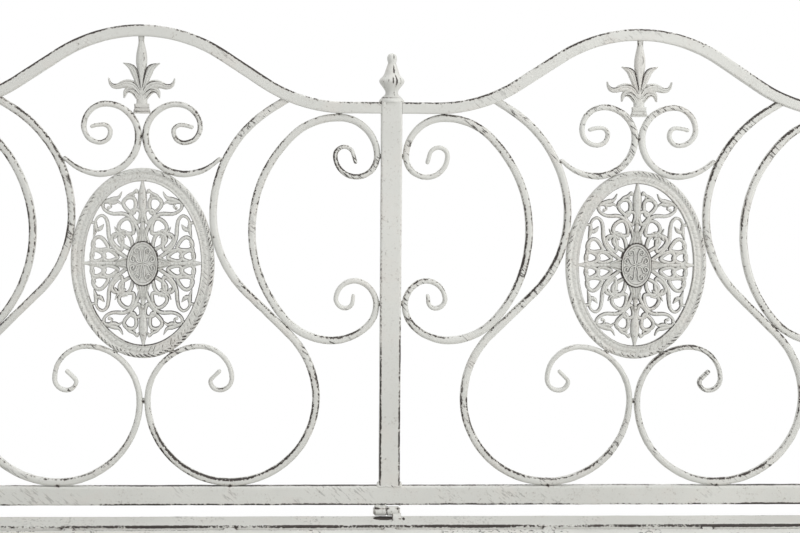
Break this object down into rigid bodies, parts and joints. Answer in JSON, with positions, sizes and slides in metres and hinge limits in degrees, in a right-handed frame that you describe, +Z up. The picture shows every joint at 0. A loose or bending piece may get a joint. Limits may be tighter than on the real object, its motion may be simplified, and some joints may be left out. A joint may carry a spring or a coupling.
{
  "type": "garden bench",
  "caption": "Metal garden bench with a leaning back of scrollwork, oval pierced medallions and lilies under arched rails, and a slatted seat that folds up.",
  "frame": {"origin": "middle of the footprint of the whole bench, on the floor", "axes": "+X along the bench, to the right as seen from the front, +Y towards the back, +Z up; the seat faces -Y"},
  "size_m": [1.068, 0.5752, 0.9447],
  "materials": {
    "paint": "antique white paint, rubbed through to dark metal along the edges",
    "casting": "antique white paint over a cast surface, dark in its hollows",
    "fastener": "painted over with the frame, worn on the domes",
    "foot_plastic": "matte off-white plastic"
  },
  "bodies": {
    "frame": {"rear_leg_left": "paint", "rear_leg_right": "paint", "centre_post": "paint", "lower_rail": "paint", "top_rail_left": "paint", "top_rail_right": "paint", "lyre_scroll_1": "paint", "lyre_scroll_2": "paint", "lyre_scroll_3": "paint", "lyre_scroll_4": "paint", "c_scroll_1": "paint", "c_scroll_2": "paint", "c_scroll_3": "paint", "c_scroll_4": "paint", "heart_scroll_1": "paint", "heart_scroll_2": "paint", "heart_scroll_3": "paint", "heart_scroll_4": "paint", "medallion_left": "casting", "medallion_right": "casting", "lily_left": "casting", "lily_right": "casting", "finial_left": "casting", "finial_centre": "casting", "finial_right": "casting", "back_hinge_knuckles": "paint", "hinge_pins": "fastener", "front_leg_left": "paint", "front_leg_right": "paint", "arm_left": "paint", "arm_right": "paint", "side_rail_left": "paint", "side_rail_right": "paint", "side_stretcher_left": "paint", "side_stretcher_right": "paint", "arm_scroll_left": "paint", "arm_scroll_right": "paint", "lug_plates": "paint", "frame_bolts": "fastener", "cap_nuts": "fastener", "front_rail": "paint", "rear_stretcher": "paint", "foot_caps": "foot_plastic"},
    "seat": {"seat_rear_rail": "paint", "seat_front_rail": "paint", "seat_side_rail_left": "paint", "seat_side_rail_right": "paint", "seat_cross_bars": "paint", "seat_slat_1": "paint", "seat_slat_2": "paint", "seat_slat_3": "paint", "seat_slat_4": "paint", "seat_slat_5": "paint", "seat_slat_6": "paint", "seat_slat_7": "paint", "seat_slat_8": "paint", "seat_hinge_knuckles": "paint"}
  },
  "joints": [
    {"name": "seat_fold", "type": "hinge", "parent": "frame", "child": "seat", "pos_m": [0, 0.17143, 0.4455], "axis": [-1, 0, 0], "range_deg": [0, 102]}
  ]
}
